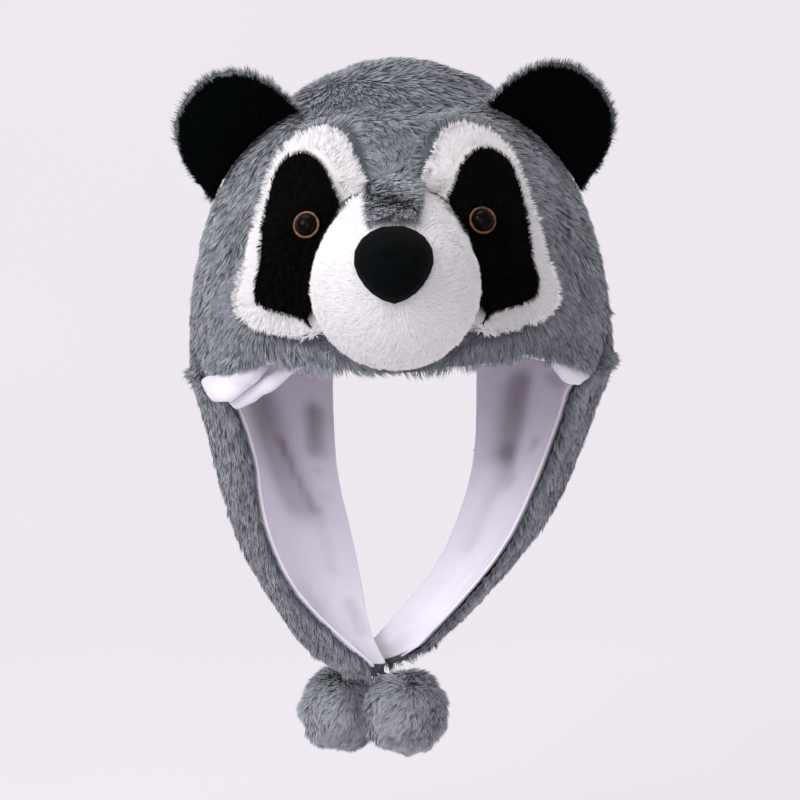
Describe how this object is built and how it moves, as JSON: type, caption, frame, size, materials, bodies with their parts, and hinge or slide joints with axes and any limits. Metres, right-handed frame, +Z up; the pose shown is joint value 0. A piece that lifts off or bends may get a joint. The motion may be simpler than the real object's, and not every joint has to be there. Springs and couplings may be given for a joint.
{
  "type": "animal hat",
  "caption": "Plush animal-face hat with upright ears, a stuffed muzzle and long lined ear flaps that cross below the chin and end in pompoms.",
  "frame": {"origin": "top of the head hollow, on the lining's inner face, where a head holds the hat up", "axes": "+Z up; the hat's face looks along -Y; +X is the wearer's left"},
  "size_m": [0.2414, 0.2996, 0.3845],
  "materials": {
    "grey_plush": "deep matte pile",
    "pale_grey_plush": "deep matte pile",
    "white_plush": "short matte pile",
    "black_plush": "short matte pile",
    "nose_plush": "short velvety pile",
    "lining": "brushed matte",
    "eye_ring": "glossy",
    "eye_dome": "glossy"
  },
  "bodies": {
    "root": {"crown_back": "grey_plush", "face_panel": "grey_plush", "crown_lining": "lining", "flap_left": "grey_plush", "flap_lining_left": "lining", "ear_back_left": "pale_grey_plush", "ear_front_left": "black_plush", "eye_surround_left": "white_plush", "eye_patch_left": "black_plush", "eye_ring_left": "eye_ring", "eye_left": "eye_dome", "pompom_left": "grey_plush", "flap_right": "grey_plush", "flap_lining_right": "lining", "ear_back_right": "pale_grey_plush", "ear_front_right": "black_plush", "eye_surround_right": "white_plush", "eye_patch_right": "black_plush", "eye_ring_right": "eye_ring", "eye_right": "eye_dome", "pompom_right": "grey_plush", "muzzle": "white_plush", "nose_bridge": "grey_plush", "nose": "nose_plush"}
  },
  "joints": []
}
